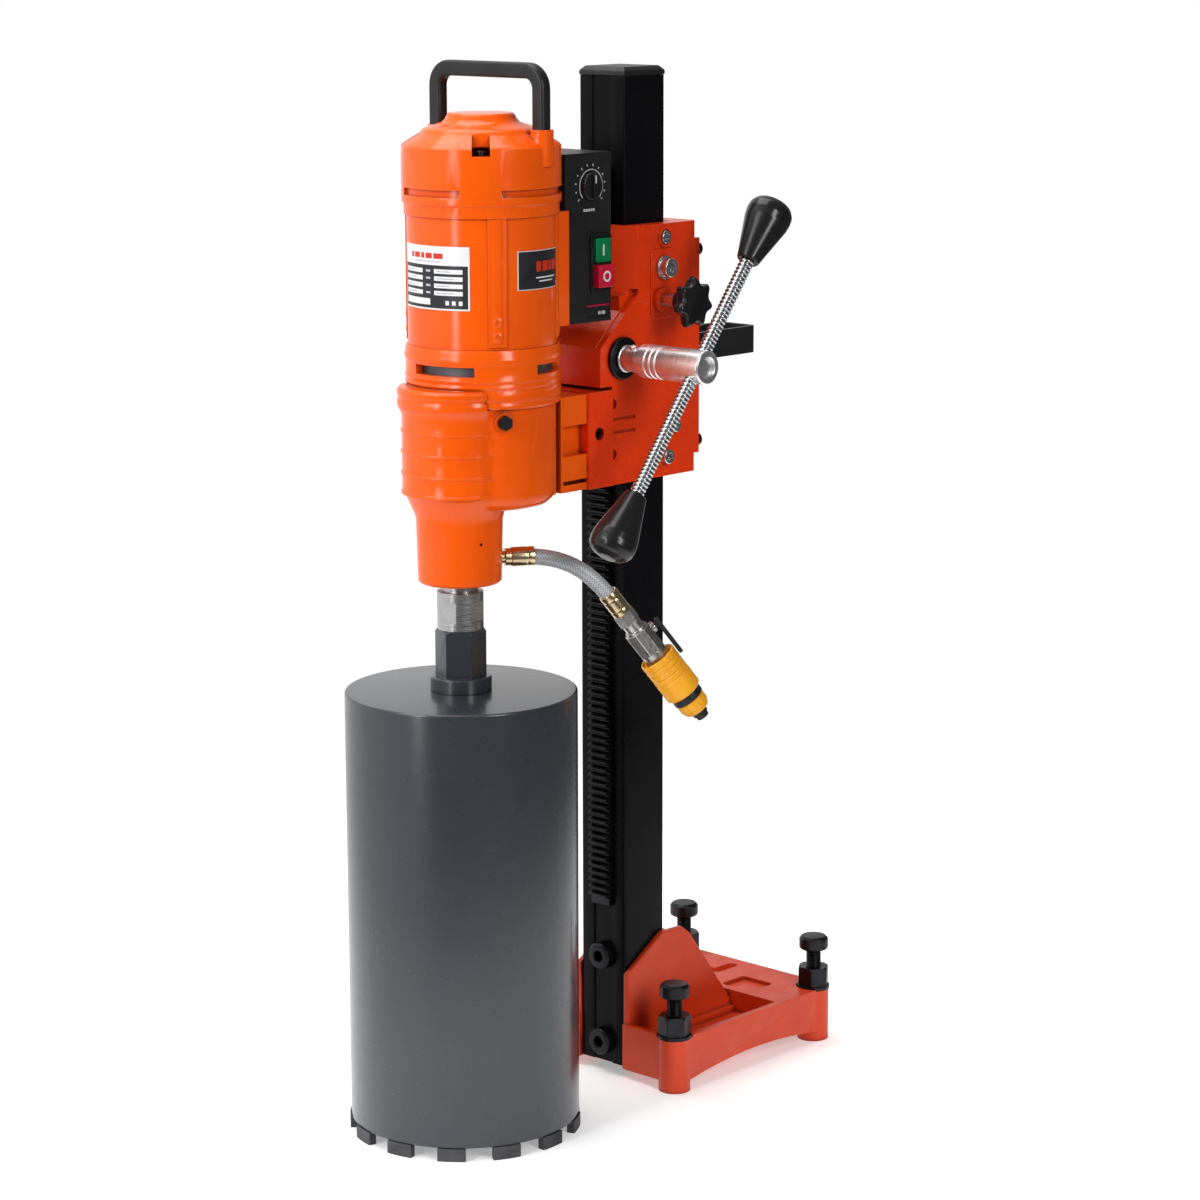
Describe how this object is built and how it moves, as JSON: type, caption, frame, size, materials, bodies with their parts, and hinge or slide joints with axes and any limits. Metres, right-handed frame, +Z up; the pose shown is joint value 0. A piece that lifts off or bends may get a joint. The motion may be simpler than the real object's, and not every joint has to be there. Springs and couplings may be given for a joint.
{
  "type": "core drill rig",
  "caption": "Column-mounted core drilling rig: toothed column on a levelling base, crank-fed carriage, water-fed drill motor and diamond core bit",
  "frame": {"origin": "centre of the rig's bounding box in plan, on the floor plane, measured without the water hose and its connector", "axes": "+Z up along the column; +X towards the crank's side; -Y towards the drill and bit"},
  "size_m": [0.2832, 0.5671, 1.046],
  "materials": {
    "orange_paint": "glossy orange paint with a fine orange-peel",
    "base_paint": "satin red-orange paint on a casting",
    "black_paint": "satin black coating on drawn tube",
    "bit_paint": "dark grey gloss paint",
    "steel": "machined steel, lightly oiled",
    "dark_steel": "blackened steel",
    "chrome": "bright plated steel",
    "segment": "sintered diamond segment, matt and grainy",
    "cast_grey": "grey die-cast aluminium",
    "laminated_steel": "stacked electrical sheet",
    "copper": "varnished copper wire",
    "brass": "turned brass",
    "black_plastic": "fine-textured black plastic",
    "guide_plastic": "natural sliding plastic",
    "yellow_plastic": "yellow moulded plastic",
    "green_plastic": "green moulded plastic",
    "red_plastic": "red moulded plastic",
    "gloss_plastic": "polished black phenolic",
    "cast_zinc": "nickel-plated fitting",
    "label": null,
    "hose_braid": "grey braided hose"
  },
  "bodies": {
    "stand": {"base_casting": "base_paint", "column_tube": "black_paint", "column_cap": "black_plastic", "rack_bar": "dark_steel", "column_bolts": "dark_steel", "foot_lock_nuts": "dark_steel"},
    "leveling_front_left": {"leveling_screw_front_left": "dark_steel"},
    "leveling_front_right": {"leveling_screw_front_right": "dark_steel"},
    "leveling_rear_left": {"leveling_screw_rear_left": "dark_steel"},
    "leveling_rear_right": {"leveling_screw_rear_right": "dark_steel"},
    "carriage": {"carriage_housing": "orange_paint", "rear_cover_plate": "orange_paint", "rear_handle": "black_plastic", "guide_pads": "guide_plastic", "guide_adjusters": "chrome", "crank_bushings": "dark_steel", "mount_block": "orange_paint", "socket_screws": "dark_steel", "motor_housing": "orange_paint", "gearbox_ring": "orange_paint", "bearing_shield": "cast_grey", "motor_lid": "orange_paint", "top_handle": "black_plastic", "rating_plates": "label", "gearbox_housing": "orange_paint", "oil_plugs": "dark_steel", "water_nipple": "brass", "switch_box": "black_plastic", "cable_gland": "black_plastic", "stator_core": "laminated_steel", "field_coils": "copper", "brush_gear": "brass", "ball_bearings": "steel", "water_hose": "hose_braid", "hose_ferrules": "brass", "hose_coupling": "cast_zinc", "valve_body": "cast_zinc", "connector_body": "black_plastic", "connector_nut": "yellow_plastic"},
    "crank": {"crank_shaft": "steel", "crank_hub": "chrome", "crank_rod": "chrome", "crank_grips": "gloss_plastic"},
    "column_lock": {"lock_knob": "gloss_plastic", "lock_stud": "chrome"},
    "armature": {"armature_shaft": "steel", "armature_core": "laminated_steel", "commutator": "copper", "cooling_fan": "black_plastic"},
    "idler": {"idler_gear": "steel"},
    "spindle": {"spindle_shaft": "steel", "spindle_gear": "steel", "bit_hub": "bit_paint", "core_barrel": "bit_paint", "core_segments": "segment"},
    "dial": {"speed_dial": "gloss_plastic"},
    "start": {"start_button": "green_plastic"},
    "stop": {"stop_button": "red_plastic"},
    "hose_valve": {"valve_lever": "black_plastic"},
    "hose_collar": {"connector_collar": "yellow_plastic"}
  },
  "joints": [
    {"name": "carriage_feed", "type": "slide", "parent": "stand", "child": "carriage", "axis": [0, 0, 1], "range_m": [-0.39, 0.12]},
    {"name": "crank_turn", "type": "hinge", "parent": "carriage", "child": "crank", "pos_m": [-0.02686, 0.01205, 0.7537], "axis": [1, 0, 0], "range_deg": [-470, 1520]},
    {"name": "lock_knob_turn", "type": "hinge", "parent": "carriage", "child": "column_lock", "pos_m": [0.03314, 0.06825, 0.807], "axis": [1, 0, 0], "range_deg": [0, 360]},
    {"name": "spindle_spin", "type": "hinge", "parent": "carriage", "child": "spindle", "pos_m": [-0.02686, -0.16875, 0.5], "axis": [0, 0, 1], "continuous": true},
    {"name": "idler_spin", "type": "hinge", "parent": "carriage", "child": "idler", "pos_m": [0.00491, -0.12233, 0.7], "axis": [0, 0, 1], "continuous": true},
    {"name": "armature_spin", "type": "hinge", "parent": "carriage", "child": "armature", "pos_m": [-0.02686, -0.13445, 0.8], "axis": [0, 0, 1], "continuous": true},
    {"name": "speed_dial_turn", "type": "hinge", "parent": "carriage", "child": "dial", "pos_m": [0.02064, -0.03345, 0.925], "axis": [1, 0, 0], "range_deg": [0, 270]},
    {"name": "start_button_press", "type": "slide", "parent": "carriage", "child": "start", "axis": [-1, 0, 0], "range_m": [0, 0.003], "stiffness_N_per_m": 600, "springref_m": -0.002},
    {"name": "stop_button_press", "type": "slide", "parent": "carriage", "child": "stop", "axis": [-1, 0, 0], "range_m": [0, 0.003], "stiffness_N_per_m": 600, "springref_m": -0.002},
    {"name": "water_valve_turn", "type": "hinge", "parent": "carriage", "child": "hose_valve", "pos_m": [0.08307, -0.00611, 0.49836], "axis": [0.4472, 0.6617, 0.6018], "range_deg": [0, 90]},
    {"name": "connector_release", "type": "slide", "parent": "carriage", "child": "hose_collar", "axis": [-0.337, -0.4986, 0.7986], "range_m": [0, 0.005], "stiffness_N_per_m": 500, "springref_m": -0.004},
    {"name": "leveling_front_left_height", "type": "slide", "parent": "stand", "child": "leveling_front_left", "axis": [0, 0, 1], "range_m": [-0.003, 0.03]},
    {"name": "leveling_front_right_height", "type": "slide", "parent": "stand", "child": "leveling_front_right", "axis": [0, 0, 1], "range_m": [-0.003, 0.03]},
    {"name": "leveling_rear_left_height", "type": "slide", "parent": "stand", "child": "leveling_rear_left", "axis": [0, 0, 1], "range_m": [-0.003, 0.03]},
    {"name": "leveling_rear_right_height", "type": "slide", "parent": "stand", "child": "leveling_rear_right", "axis": [0, 0, 1], "range_m": [-0.003, 0.03]}
  ],
  "couplings": [
    {"joint": "crank_turn", "follows": "carriage_feed", "rad_per_m": -66.667},
    {"joint": "idler_spin", "follows": "spindle_spin", "ratio": -5.8182},
    {"joint": "armature_spin", "follows": "spindle_spin", "ratio": 27.152}
  ]
}
